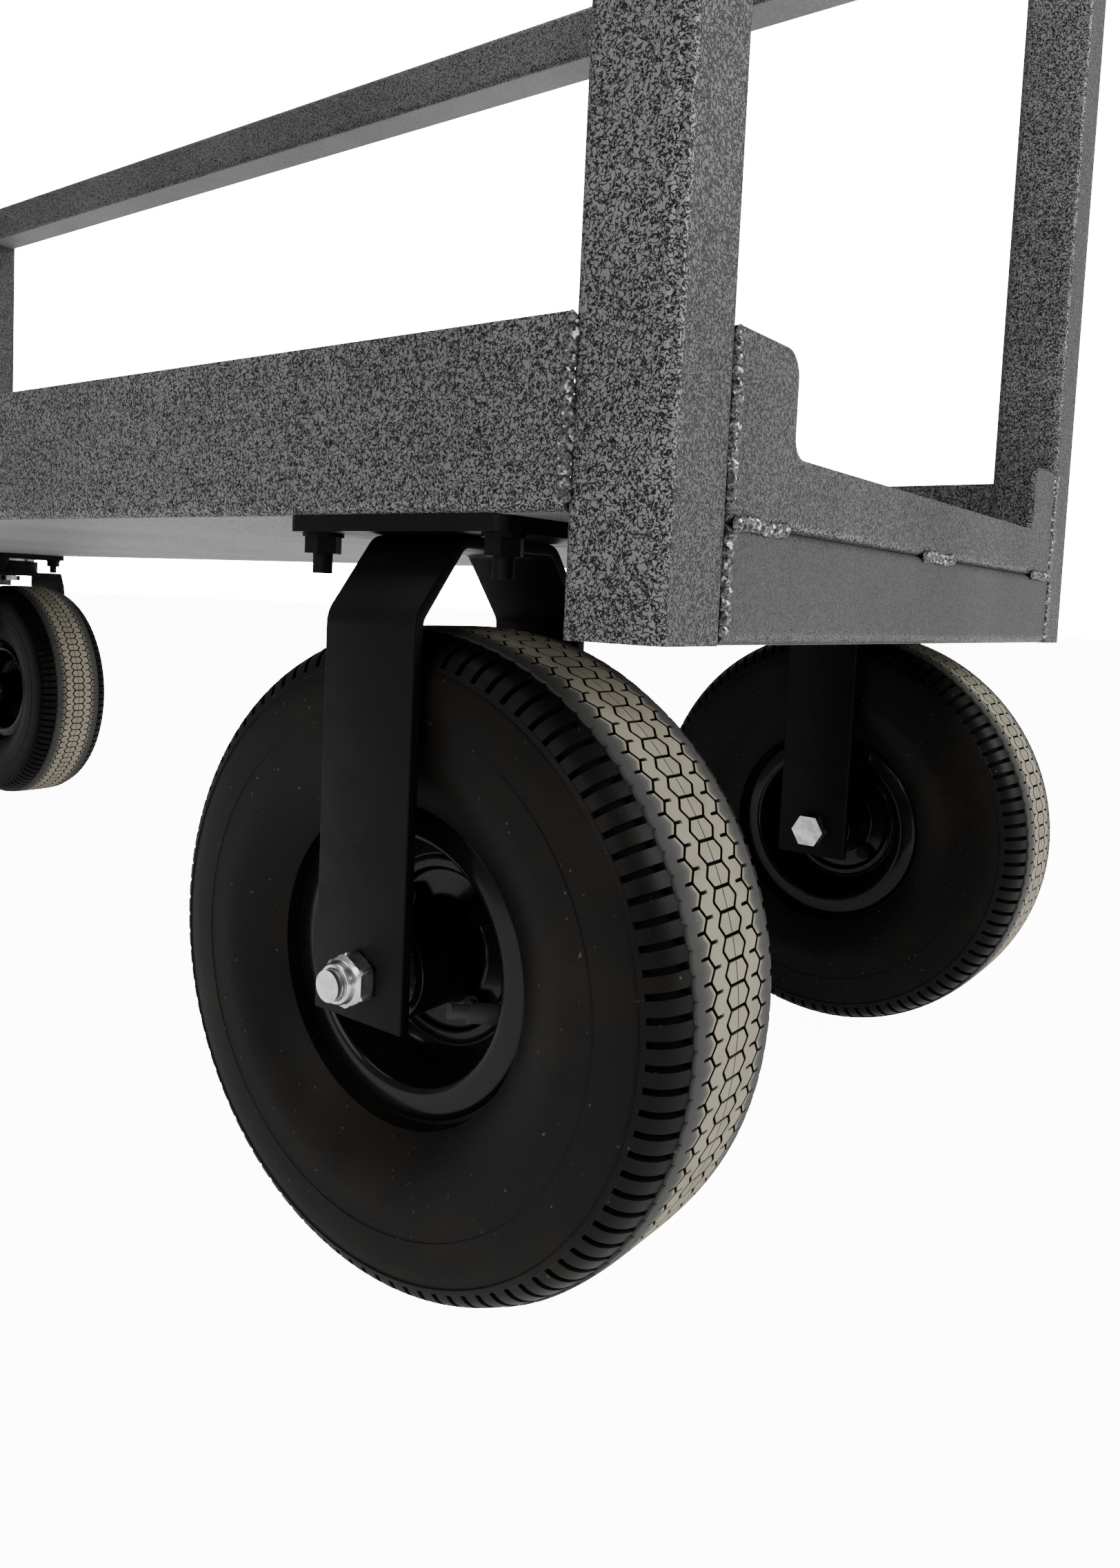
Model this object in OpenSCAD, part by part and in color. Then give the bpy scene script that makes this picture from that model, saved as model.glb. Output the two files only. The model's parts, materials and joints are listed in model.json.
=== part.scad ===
// Tow-behind cart: a folded steel tray on four pneumatic casters, with corner posts,
// a top rail and a drawbar that tilts. The rear casters are rigid, the front ones swivel.
// +X is the towing direction, +Y is left and +Z is up. The origin is on the ground, at
// the middle of the box round the whole cart.

/* [Tray] */
// Length of the tray and frame, without the drawbar
body_len = 1420; // [1000:5:1600]
// Width of the tray and frame, over the posts
body_w = 508; // [440:1:620]
// Height of the tray's flanges
tray_h = 65; // [50:1:90]
// Thickness of the tray's sheet
tray_t = 3; // [2:0.5:4]
// Outer radius of the tray's folds
tray_r = 4.5; // [4:0.5:7]
// Length of the tab left beside each rear post
tab_len = 47; // [30:1:70]
// Depth of the notch in the rear flange
notch_depth = 38; // [20:1:44]
// Radius at the top of each tab
tab_r = 10; // [4:1:15]
// Radius at the bottom of the notch
notch_r = 8; // [4:1:12]

/* [Frame] */
// Width of the square posts and top rails
post_w = 40; // [34:1:50]
// Wall of every square tube
tube_wall = 2.5; // [1.5:0.5:4]
// Corner radius of every square tube
tube_r = 5; // [3:0.5:7]
// Height of the posts
post_h = 500; // [380:5:700]
// Height of the lower tubes, which the tray rests on
low_tube_h = 42; // [34:1:50]
// Gap left for welding between the tray and the posts
weld_gap = 0.3; // [0.1:0.1:1]
// Width of a weld bead
bead_w = 6; // [4:0.5:8]
// Length of a stitch weld between the tray and a lower tube
stitch_len = 46; // [30:1:80]
// Thickness of the caps on the posts
cap_t = 3; // [2:0.5:6]

/* [Casters] */
// Height of the caster plates' top above the ground
caster_h = 309; // [300:1:340]
// Length of a caster plate, along the cart
plate_len = 114; // [110:1:130]
// Width of a caster plate
plate_w = 92; // [84:1:104]
// Thickness of a caster plate
plate_t = 6; // [4:0.5:8]
// Spacing of the plate's bolts along the cart
bolt_dx = 96; // [92:1:100]
// Spacing of the plate's bolts across the cart
bolt_dy = 68; // [62:1:78]
// Distance from the frame's end to a caster plate's middle
plate_from_end = 124; // [116:1:180]
// Distance from the frame's side to a wheel's middle plane
wheel_from_side = 48; // [46:1:70]
// Width of the fork's flat bar
fork_w = 47; // [40:1:56]
// Thickness of the fork's flat bar
fork_t = 5; // [4:0.5:6]
// Gap between the fork's legs
fork_gap = 96; // [92:1:104]
// Half the width of the fork's top, between its bends
fork_top = 28; // [20:1:32]
// Height of the fork's slanted shoulder
shoulder_h = 29.5; // [20:0.5:34]
// How far the fork's legs reach below the axle
fork_tail = 17; // [16:0.5:30]
// Distance from a front caster's kingpin to its axle
trail = 40; // [30:1:44]
// Radius of the kingpin
kingpin_r = 8; // [7:0.5:10]
// Radius of the swivel head
swivel_r = 34; // [30:1:38]

/* [Wheels] */
// Outside diameter of the tyre
tyre_od = 268; // [250:1:276]
// Width of the tyre
tyre_w = 89; // [76:1:90]
// Radius of the rim's bead seat
bead_seat_r = 51; // [48:0.5:54]
// Radius of the rim's flanges
rim_r = 64; // [62:0.5:66]
// Width of the rim over its flanges
rim_w = 58; // [52:1:64]
// Thickness of the rim's pressed steel
rim_t = 2.5; // [2:0.5:3.5]
// Length of the hub
hub_len = 78; // [70:1:84]
// Outside radius of the hub
hub_r = 21; // [20:0.5:24]
// Outside radius of the wheel bearings
bearing_r = 17.5; // [16:0.5:18]
// Width of a wheel bearing
bearing_w = 11; // [9:0.5:14]
// Outside radius of the axle sleeve
sleeve_r = 8; // [7.5:0.5:9]

/* [Fasteners] */
// Radius of the caster bolts
bolt_r = 4; // [3:0.5:5]
// Radius of the axle bolts and of the drawbar's pivot bolt
axle_r = 6; // [5:0.5:7]
// Clearance round a bolt that is only clamped
bolt_gap = 0.25; // [0.1:0.05:0.5]
// Radial clearance of a shaft that turns
run_gap = 0.05; // [0.02:0.01:0.1]

/* [Drawbar] */
// Width of the drawbar's square tube
draw_w = 40; // [34:1:42]
// Distance from the drawbar's pivot to the hitch hole
draw_len = 640; // [480:5:760]
// Distance from the front tube to the drawbar's pivot
lug_reach = 28; // [27:1:40]
// Thickness of the pivot lugs
lug_t = 6; // [5:0.5:10]
// Thickness of the hitch straps
strap_t = 6; // [5:0.5:10]
// Width of the hitch straps
strap_w = 44; // [36:1:56]
// Length of the straps' grip on the drawbar
strap_grip = 60; // [40:1:90]
// Radius of the hitch hole
hitch_r = 8.5; // [6.5:0.5:10.5]
// Free length of the straps, from the drawbar's end to the hitch hole
strap_reach = 50; // [30:1:70]

/* [Hidden] */
$fn = 64;
eps = 0.5;

paint = "#45423f";
black = "#141414";
zinc = "#b8b8b4";
sheet = "#8d8d8c";
rubber = "#1d1c1b";

// Stations along the cart and up it
tip_r = strap_w / 2;
tyre_r = tyre_od / 2;
bead_r = bead_w / 2;
rear_over = max(tyre_r - plate_from_end, bead_r);
overall_len = rear_over + body_len + lug_reach + draw_len + tip_r;
rear_x = rear_over - overall_len / 2;
front_x = rear_x + body_len;
tray_mid_x = rear_x + body_len / 2;
pivot_x = front_x + lug_reach;
hitch_x = pivot_x + draw_len;
post_base_z = caster_h - low_tube_h;
post_top_z = post_base_z + post_h;
axle_z = tyre_r;
pivot_z = post_base_z + low_tube_h / 2;
corner_cut = post_w + weld_gap;
rear_plate_x = rear_x + plate_from_end;
front_plate_x = front_x - plate_from_end;
wheel_y = body_w / 2 - wheel_from_side;
front_axle_x = front_plate_x - trail;

// Fasteners: hexagons across corners, heights of heads and nuts
bolt_hex = bolt_r * 3.75;
sink_r = bolt_r * 2;
sink_gap = 0.1;
bolt_nut_h = bolt_r * 1.65;
washer_r = bolt_r * 2.1;
washer_t = 1.6;
bolt_tail = 8;
axle_hex = axle_r * 3.65;
axle_head_h = axle_r * 1.25;
axle_nut_h = axle_r * 1.4;
axle_collar_h = axle_r * 0.6;
axle_tail = 3;
leg_out = fork_gap / 2 + fork_t;

// Swivel head, from the plate down
ring_t = 3;
head_h = 14;
head_top_z = caster_h - plate_t - ring_t;
fork_top_z = head_top_z - head_h;
kingpin_head_h = 6;
kingpin_head_r = kingpin_r + 5;

// Wheel: the widest point of the tyre and the shape of its section
wide_r = 92;
tyre_wall = 8;
crown_power = 4.4;
bead_power = 1.8;
disc_t = 5;
rim_bolt_pcd = 54;
rim_bolt_r = 3;
rim_nut_r = 5.2;
rim_nut_h = 5;
valve_r = 4;
valve_cap_r = 3;
valve_lean = 30;
valve_z = -13;

function corner_x(front) = front ? front_plate_x : rear_plate_x;
function superellipse(a, b, p, t) =
  [b * pow(abs(sin(t)), 2 / p) * sign(sin(t)), a * pow(abs(cos(t)), 2 / p) * sign(cos(t))];
function tyre_outline(a, crown, foot) = [for (t = [0:5:355])
  let (up = t <= 180)
  let (q = superellipse(a, up ? crown : foot, up ? crown_power : bead_power, t))
  [wide_r + q[0], q[1]]];
// Fills the tyre's foot out to the rim's flange
function bead_point(p) = [p.x, sign(p.y) * max(abs(p.y), p.x < rim_r ? rim_w / 2 - rim_t : 0)];

// ---- Shapes that repeat ----
module rounded_square(w, d, r) {
  square([w - 2 * r, d], center = true);
  square([w, d - 2 * r], center = true);
  for (sx = [-1, 1], sy = [-1, 1]) translate([sx * (w / 2 - r), sy * (d / 2 - r)]) circle(r);
}

module tube_section(w, d) {
  difference() {
    rounded_square(w, d, tube_r);
    rounded_square(w - 2 * tube_wall, d - 2 * tube_wall, tube_r - tube_wall);
  }
}

// A square tube from a corner post: along Z, X or Y, from its start point's middle
module tube_up(w, len) linear_extrude(len) tube_section(w, w);
module tube_along_x(w, h, len) rotate([90, 0, 90]) linear_extrude(len) tube_section(w, h);
module tube_along_y(w, h, len) rotate([90, 0, 0]) linear_extrude(len, center = true) tube_section(w, h);

// A fold's section: a shallow channel of the given width, with its flanges up
module channel_section(w) {
  difference() {
    channel_outline(w / 2, 0, tray_r);
    translate([0, tray_t]) channel_outline(w / 2 - tray_t, eps, tray_r - tray_t);
  }
}
module channel_outline(half, over, r) {
  translate([-half, r]) square([2 * half, tray_h - r + over]);
  translate([r - half, 0]) square([2 * (half - r), r + eps]);
  for (s = [-1, 1]) translate([s * (half - r), r]) circle(r);
}

module bolt_pattern() {
  for (sx = [-1, 1], sy = [-1, 1]) translate([sx * bolt_dx / 2, sy * bolt_dy / 2]) children();
}
module at_plates() {
  for (x = [rear_plate_x, front_plate_x], s = [-1, 1]) translate([x, s * wheel_y, 0]) children();
}
module hexagon(across, h) cylinder(r = across / 2, h = h, $fn = 6);
// A countersunk head, flush with the tray's floor, and the hole that takes it
module sunk_head(gap) translate([0, 0, caster_h + tray_t - (sink_r - bolt_r) - gap])
  cylinder(r1 = bolt_r, r2 = sink_r + gap, h = sink_r - bolt_r + gap);
module bolt_hole() {
  translate([0, 0, caster_h - plate_t - eps]) cylinder(r = bolt_r + bolt_gap, h = plate_t + tray_t + 2 * eps);
  sunk_head(sink_gap);
}

// A bead laid on a flat face: half a round bar, along Z, bulging towards +X
module bead(len) {
  linear_extrude(len, center = true) intersection() {
    circle(bead_r, $fn = 32);
    translate([0, -bead_r]) square([bead_r, 2 * bead_r]);
  }
}

// Puts a wheel's or fork's parts at a wheel; a right-hand one is the mirror image
module at_wheel(x, side) {
  translate([x, side * wheel_y, axle_z]) mirror([0, side > 0 ? 0 : 1, 0]) children();
}

// ---- Tray and frame ----
module notch_outline() {
  half = body_w / 2 - post_w - tab_len;
  floor_z = tray_h - notch_depth;
  translate([-half, floor_z + notch_r]) square([2 * half, notch_depth]);
  translate([notch_r - half, floor_z]) square([2 * (half - notch_r), notch_r + eps]);
  for (s = [-1, 1]) {
    translate([s * (half - notch_r), floor_z + notch_r]) circle(notch_r);
    translate([s * half, tray_h]) difference() {
      translate([-tab_r, -tab_r]) square([2 * tab_r, 2 * tab_r]);
      translate([s * tab_r, -tab_r]) circle(tab_r);
      translate([s > 0 ? 0 : -2 * tab_r, -2 * tab_r - eps]) square([2 * tab_r, tab_r + eps]);
      translate([s > 0 ? tab_r : -3 * tab_r, -3 * tab_r]) square([2 * tab_r, 5 * tab_r]);
    }
  }
}

module tray() color(paint) {
  difference() {
    translate([tray_mid_x, 0, caster_h]) union() {
      rotate([90, 0, 90]) linear_extrude(body_len - 2 * corner_cut, center = true) channel_section(body_w);
      rotate([90, 0, 0]) linear_extrude(body_w - 2 * corner_cut, center = true) channel_section(body_len);
    }
    translate([rear_x - eps, 0, caster_h]) rotate([90, 0, 90])
      linear_extrude(tray_t + tray_r) notch_outline();
    at_plates() bolt_pattern() bolt_hole();
  }
}

module low_tube(x) color(paint)
  translate([x, 0, pivot_z]) tube_along_y(post_w, low_tube_h, body_w - 2 * corner_cut);
module rear_tube() low_tube(rear_x + post_w / 2);
module front_tube() low_tube(front_x - post_w / 2);

module post(front, side) color(paint)
  translate([front ? front_x - post_w / 2 : rear_x + post_w / 2, side * (body_w - post_w) / 2, post_base_z])
    tube_up(post_w, post_h);

module top_rail_side(side) color(paint)
  translate([rear_x + corner_cut, side * (body_w - post_w) / 2, post_top_z - post_w / 2])
    tube_along_x(post_w, post_w, body_len - 2 * corner_cut);
module top_rail_front() color(paint)
  translate([front_x - post_w / 2, 0, post_top_z - post_w / 2])
    tube_along_y(post_w, post_w, body_w - 2 * corner_cut);

module post_caps() color(black) {
  plug = post_w - 2 * tube_wall - 0.4;
  for (x = [rear_x + post_w / 2, front_x - post_w / 2], s = [-1, 1])
    translate([x, s * (body_w - post_w) / 2, post_top_z]) {
      linear_extrude(cap_t) rounded_square(post_w, post_w, tube_r);
      translate([0, 0, -12]) linear_extrude(12 + eps) rounded_square(plug, plug, tube_r - tube_wall);
    }
}

// Beads on the faces where tray, tubes and rails meet the posts, and the stitches
module frame_welds() color(paint) {
  flange_mid = caster_h + tray_r + (tray_h - tray_r) / 2;
  flange_len = tray_h - tray_r - 2;
  tube_len = low_tube_h - 2 * tube_r;
  rail_mid = post_top_z - post_w / 2;
  for (s = [-1, 1]) {
    for (x = [rear_x + post_w, front_x - post_w]) {
      translate([x, s * body_w / 2, flange_mid]) rotate([0, 0, s * 90]) bead(flange_len);
      translate([x, s * body_w / 2, rail_mid]) rotate([0, 0, s * 90]) bead(post_w - 2 * tube_r);
    }
    for (end = [-1, 1]) {
      face_x = end > 0 ? front_x : rear_x;
      turn = end > 0 ? 0 : 180;
      y = s * (body_w / 2 - post_w);
      translate([face_x, y, flange_mid]) rotate([0, 0, turn]) bead(flange_len);
      translate([face_x, y, pivot_z]) rotate([0, 0, turn]) bead(tube_len);
      translate([face_x, y - s * (bead_r + stitch_len / 2), caster_h]) mirror([end > 0 ? 0 : 1, 0, 0])
        rotate([90, 0, 0]) stitch();
    }
    translate([front_x, s * (body_w / 2 - post_w), rail_mid]) bead(post_w - 2 * tube_r);
  }
  translate([rear_x, 0, caster_h]) mirror([1, 0, 0]) rotate([90, 0, 0]) stitch();
}
// A stitch bridges the rounded edges of the fold and the tube
module stitch() {
  bite = min(tray_r, tube_r) - 1;
  linear_extrude(stitch_len, center = true) difference() {
    union() {
      circle(bead_r, $fn = 32);
      translate([-bite + 0.6, -0.6]) square([bite, 1.2]);
    }
    translate([-tube_r, -tube_r]) circle(tube_r + 0.05);
    translate([-tray_r, tray_r]) circle(tray_r + 0.05);
    translate([-bead_r - eps - 1, -bead_r - 1]) square([bead_r + 1 + eps - 1.5, bead_w + 2]);
  }
}

// ---- Casters ----
module plate_body(x, side) {
  translate([x, side * wheel_y, caster_h - plate_t]) difference() {
    linear_extrude(plate_t) rounded_square(plate_len, plate_w, 6);
    translate([0, 0, plate_t - caster_h]) bolt_pattern() bolt_hole();
    children();
  }
}
module plate_rear(side) color(black) plate_body(rear_plate_x, side);
module plate_front(side) color(black)
  plate_body(front_plate_x, side) translate([0, 0, -eps]) cylinder(r = kingpin_r, h = plate_t + 2 * eps);

// The rear fork: one flat bar bent over the wheel, seen along the cart
module fork_rear(side) color(black) {
  top = caster_h - plate_t - axle_z;
  bend = top - fork_t - shoulder_h;
  in = fork_gap / 2;
  at_wheel(rear_plate_x, side) difference() {
    rotate([90, 0, 90]) linear_extrude(fork_w, center = true)
      polygon([[-fork_top - 2, top], [fork_top + 2, top], [in + fork_t, bend + 1], [in + fork_t, -fork_tail],
        [in, -fork_tail], [in, bend], [fork_top, top - fork_t], [-fork_top, top - fork_t], [-in, bend],
        [-in, -fork_tail], [-in - fork_t, -fork_tail], [-in - fork_t, bend + 1]]);
    rotate([90, 0, 0]) cylinder(r = axle_r + bolt_gap, h = 3 * leg_out, center = true);
  }
}

// The front fork: a swivel head, a cross bar and two legs that trail to the axle
module fork_front(side) color(black) {
  top = fork_top_z - axle_z;
  leg = [[swivel_r, top], [swivel_r, top - fork_t - 12], [fork_w / 2 - trail, 0],
    [-fork_w / 2 - trail, 0], [-swivel_r - 8, top - fork_t - 12], [-swivel_r, top]];
  at_wheel(front_plate_x, side) difference() {
    union() {
      translate([0, 0, top]) cylinder(r = swivel_r, h = head_h);
      translate([-swivel_r, -leg_out, top - fork_t]) cube([2 * swivel_r, 2 * leg_out, fork_t]);
      for (s = [-1, 1]) translate([0, s * (leg_out - fork_t / 2), 0]) rotate([90, 0, 0])
        linear_extrude(fork_t, center = true) {
          polygon(leg);
          translate([-trail, 0]) circle(fork_w / 2);
        }
    }
    translate([0, 0, top - fork_t - eps]) cylinder(r = kingpin_r + run_gap, h = head_h + fork_t + 2 * eps);
    translate([-trail, 0, 0]) rotate([90, 0, 0])
      cylinder(r = axle_r + bolt_gap, h = 3 * leg_out, center = true);
  }
}

module kingpins() color(zinc) for (s = [-1, 1]) translate([front_plate_x, s * wheel_y, 0]) {
  z0 = fork_top_z - fork_t - 0.3;
  translate([0, 0, z0]) cylinder(r = kingpin_r, h = caster_h - z0);
  translate([0, 0, z0 - kingpin_head_h]) cylinder(r = kingpin_head_r, h = kingpin_head_h);
}
module swivel_rings() color(zinc) for (s = [-1, 1])
  translate([front_plate_x, s * wheel_y, head_top_z + 0.3]) difference() {
    cylinder(r = swivel_r - 4, h = ring_t - 0.3);
    translate([0, 0, -eps]) cylinder(r = kingpin_r + run_gap, h = ring_t + 2 * eps);
  }

module caster_bolts() color(black) at_plates() bolt_pattern() {
  end_z = caster_h - plate_t - washer_t - bolt_nut_h - bolt_tail;
  translate([0, 0, end_z]) cylinder(r = bolt_r, h = caster_h + tray_t - end_z);
  sunk_head(0);
}
module caster_washers() color(black) at_plates() bolt_pattern()
  translate([0, 0, caster_h - plate_t - washer_t]) difference() {
    cylinder(r = washer_r, h = washer_t);
    translate([0, 0, -eps]) cylinder(r = bolt_r + bolt_gap, h = washer_t + 2 * eps);
  }
module caster_nuts() color(black) at_plates() bolt_pattern()
  translate([0, 0, caster_h - plate_t - washer_t - bolt_nut_h]) difference() {
    hexagon(bolt_hex, bolt_nut_h);
    translate([0, 0, -eps]) cylinder(r = bolt_r + run_gap, h = bolt_nut_h + 2 * eps);
  }

// ---- Axles: the nut is on the outside of the cart ----
module axle_bolt(x, side) color(zinc) at_wheel(x, side) rotate([-90, 0, 0]) {
  tail = leg_out + axle_nut_h + axle_collar_h + axle_tail;
  translate([0, 0, -leg_out]) cylinder(r = axle_r, h = leg_out + tail);
  translate([0, 0, -leg_out - axle_head_h]) hexagon(axle_hex, axle_head_h);
}
module axle_nut(x, side) color(zinc) at_wheel(x, side) rotate([-90, 0, 0]) translate([0, 0, leg_out])
  difference() {
    union() {
      hexagon(axle_hex, axle_nut_h);
      translate([0, 0, axle_nut_h]) cylinder(r = axle_hex / 2 - 2.4, h = axle_collar_h);
    }
    translate([0, 0, -eps]) cylinder(r = axle_r + run_gap, h = axle_nut_h + axle_collar_h + 2 * eps);
  }
module axle_sleeve(x, side) color(zinc) at_wheel(x, side) rotate([90, 0, 0]) difference() {
  cylinder(r = sleeve_r, h = fork_gap, center = true);
  cylinder(r = axle_r + run_gap, h = fork_gap + 2 * eps, center = true);
}
module axle_bolts_rear() for (s = [-1, 1]) axle_bolt(rear_plate_x, s);
module axle_nuts_rear() for (s = [-1, 1]) axle_nut(rear_plate_x, s);
module axle_sleeves_rear() for (s = [-1, 1]) axle_sleeve(rear_plate_x, s);

// ---- Wheels ----
module tyre(x, side) color(rubber) at_wheel(x, side) rotate([90, 0, 0]) rotate_extrude($fn = 96)
  difference() {
    polygon([for (p = tyre_outline(tyre_w / 2, tyre_r - wide_r, wide_r - bead_seat_r + 4)) bead_point(p)]);
    polygon(tyre_outline(tyre_w / 2 - tyre_wall, tyre_r - wide_r - 2 * tyre_wall, wide_r - bead_seat_r + 1));
    square([2 * bead_seat_r + 1, tyre_w + 2], center = true);
    for (s = [-1, 1]) translate([0, s * (tyre_w / 2 + rim_w / 2 - rim_t)])
      square([2 * rim_r + 1, tyre_w], center = true);
  }

// The rim: two pressed dishes back to back, with a hub tube through them
module rim(x, side) color(black) at_wheel(x, side) rotate([90, 0, 0]) {
  difference() {
    rotate_extrude($fn = 96) rim_section();
    for (a = [45:90:315]) rotate([0, 0, a]) translate([rim_bolt_pcd / 2, 0, 0])
      cylinder(r = rim_bolt_r + bolt_gap, h = 2 * disc_t, center = true);
    valve_place() cylinder(r = valve_r + 0.2, h = 26, center = true);
  }
}
// The rim's section: hub tube, disc with a raised ring, dish, flange, and back along the bead seat
module rim_section() {
  seat_y = rim_w / 2 - rim_t;
  well_r = bead_seat_r - rim_t;
  ring_r = rim_bolt_pcd / 2 + rim_nut_r + 1;
  hub = [[bearing_r, hub_len / 2], [hub_r, hub_len / 2], [hub_r, disc_t / 2]];
  dish = [[ring_r, disc_t / 2], [ring_r + 1, disc_t], [ring_r + 4, disc_t], [ring_r + 5.5, disc_t / 2 + 1],
    [well_r - 5, disc_t + 4], [well_r - 2, seat_y - 9], [well_r, seat_y - 4], [well_r + 1, rim_w / 2 - 1.5]];
  flange = [[bead_seat_r + 2, rim_w / 2], [rim_r - 1, rim_w / 2], [rim_r, rim_w / 2 - 1], [rim_r, seat_y]];
  seat = [[bead_seat_r, seat_y], [bead_seat_r, seat_y - 7], [bead_seat_r - 3, seat_y - 12],
    [well_r - 1.5, disc_t / 2]];
  half = concat(hub, dish, flange, seat);
  polygon(concat(half, [for (i = [len(half) - 1:-1:0]) [half[i].x, -half[i].y]]));
}
// Places a valve on the rim's cone, leaning out of the dish
module valve_place() rotate([0, 0, 200]) translate([bead_seat_r - rim_t - 4.5, 0, valve_z])
  rotate([0, valve_lean, 0]) children();
module valve(x, side) color(black) at_wheel(x, side) rotate([90, 0, 0]) valve_place() {
  translate([0, 0, -16]) cylinder(r = valve_r, h = 22);
  translate([0, 0, -24]) cylinder(r = valve_cap_r, h = 8 + eps);
}
module bearings(x, side) color(zinc) at_wheel(x, side) rotate([90, 0, 0]) for (s = [-1, 1])
  translate([0, 0, s * (hub_len - bearing_w) / 2]) difference() {
    cylinder(r = bearing_r, h = bearing_w, center = true);
    cylinder(r = sleeve_r + run_gap, h = bearing_w + 2 * eps, center = true);
  }
module rim_bolts(x, side) color(zinc) at_wheel(x, side) rotate([90, 0, 0])
  for (a = [45:90:315]) rotate([0, 0, a]) translate([rim_bolt_pcd / 2, 0, 0]) {
    cylinder(r = rim_bolt_r, h = disc_t + 12, center = true);
    for (s = [-1, 1]) translate([0, 0, s * (disc_t + rim_nut_h) / 2])
      cylinder(r = rim_nut_r, h = rim_nut_h, center = true, $fn = 6);
  }

// ---- Drawbar ----
module drawbar_lugs() color(paint) for (s = [-1, 1])
  translate([0, s * (draw_w / 2 + 0.5 + lug_t / 2), pivot_z]) rotate([90, 0, 0]) difference() {
    linear_extrude(lug_t, center = true) {
      translate([front_x, -low_tube_h / 2 + 1]) square([lug_reach, low_tube_h - 2]);
      translate([pivot_x, 0]) circle(low_tube_h / 2 - 1);
    }
    translate([pivot_x, 0, 0]) cylinder(r = axle_r + run_gap, h = 2 * lug_t, center = true);
  }

module drawbar() color(paint) {
  back = min(draw_w / 2 - 2, lug_reach - 10);
  difference() {
    union() {
      translate([pivot_x - back, 0, pivot_z]) tube_along_x(draw_w, draw_w, back + draw_len - strap_reach);
      translate([pivot_x, 0, pivot_z]) rotate([90, 0, 0]) cylinder(r = axle_r + 4, h = draw_w, center = true);
    }
    translate([pivot_x, 0, pivot_z]) rotate([90, 0, 0])
      cylinder(r = axle_r + run_gap, h = draw_w + 2 * eps, center = true);
  }
}
module drawbar_bolt() color(zinc) translate([pivot_x, 0, pivot_z]) rotate([90, 0, 0]) {
  half = draw_w / 2 + 0.5 + lug_t;
  translate([0, 0, -half]) cylinder(r = axle_r, h = 2 * half + axle_nut_h + axle_collar_h + axle_tail);
  translate([0, 0, -half - axle_head_h]) hexagon(axle_hex, axle_head_h);
}
module drawbar_nut() color(zinc)
  translate([pivot_x, -(draw_w / 2 + 0.5 + lug_t), pivot_z]) rotate([90, 0, 0]) difference() {
    union() {
      hexagon(axle_hex, axle_nut_h);
      translate([0, 0, axle_nut_h]) cylinder(r = axle_hex / 2 - 2.4, h = axle_collar_h);
    }
    translate([0, 0, -eps]) cylinder(r = axle_r + run_gap, h = axle_nut_h + axle_collar_h + 2 * eps);
  }
module hitch_straps() color(paint) for (s = [-1, 1])
  translate([0, 0, pivot_z + s * (draw_w + strap_t) / 2]) difference() {
    linear_extrude(strap_t, center = true) {
      translate([hitch_x - strap_reach - strap_grip, -strap_w / 2]) square([strap_reach + strap_grip, strap_w]);
      translate([hitch_x, 0]) circle(tip_r);
    }
    translate([hitch_x, 0, 0]) cylinder(r = hitch_r, h = 2 * strap_t, center = true);
  }

tray();
rear_tube();
front_tube();
post(false, 1);  // post_rear_left
post(false, -1);  // post_rear_right
post(true, 1);  // post_front_left
post(true, -1);  // post_front_right
top_rail_side(1);  // top_rail_left
top_rail_side(-1);  // top_rail_right
top_rail_front();
post_caps();
frame_welds();
plate_rear(1);  // plate_rear_left
plate_rear(-1);  // plate_rear_right
plate_front(1);  // plate_front_left
plate_front(-1);  // plate_front_right
fork_rear(1);  // fork_rear_left
fork_rear(-1);  // fork_rear_right
fork_front(1);  // fork_front_left
fork_front(-1);  // fork_front_right
caster_bolts();
caster_washers();
caster_nuts();
kingpins();
swivel_rings();
axle_bolts_rear();
axle_nuts_rear();
axle_sleeves_rear();
axle_bolt(front_axle_x, 1);  // axle_bolt_front_left
axle_nut(front_axle_x, 1);  // axle_nut_front_left
axle_sleeve(front_axle_x, 1);  // axle_sleeve_front_left
axle_bolt(front_axle_x, -1);  // axle_bolt_front_right
axle_nut(front_axle_x, -1);  // axle_nut_front_right
axle_sleeve(front_axle_x, -1);  // axle_sleeve_front_right
tyre(rear_plate_x, 1);  // tyre_rear_left
rim(rear_plate_x, 1);  // rim_rear_left
bearings(rear_plate_x, 1);  // bearings_rear_left
valve(rear_plate_x, 1);  // valve_rear_left
rim_bolts(rear_plate_x, 1);  // rim_bolts_rear_left
tyre(rear_plate_x, -1);  // tyre_rear_right
rim(rear_plate_x, -1);  // rim_rear_right
bearings(rear_plate_x, -1);  // bearings_rear_right
valve(rear_plate_x, -1);  // valve_rear_right
rim_bolts(rear_plate_x, -1);  // rim_bolts_rear_right
tyre(front_axle_x, 1);  // tyre_front_left
rim(front_axle_x, 1);  // rim_front_left
bearings(front_axle_x, 1);  // bearings_front_left
valve(front_axle_x, 1);  // valve_front_left
rim_bolts(front_axle_x, 1);  // rim_bolts_front_left
tyre(front_axle_x, -1);  // tyre_front_right
rim(front_axle_x, -1);  // rim_front_right
bearings(front_axle_x, -1);  // bearings_front_right
valve(front_axle_x, -1);  // valve_front_right
rim_bolts(front_axle_x, -1);  // rim_bolts_front_right
drawbar_lugs();
drawbar_bolt();
drawbar_nut();
drawbar();
hitch_straps();
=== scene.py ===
import json
import math

import bpy
import numpy as np
from mathutils import Matrix, Vector


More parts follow.
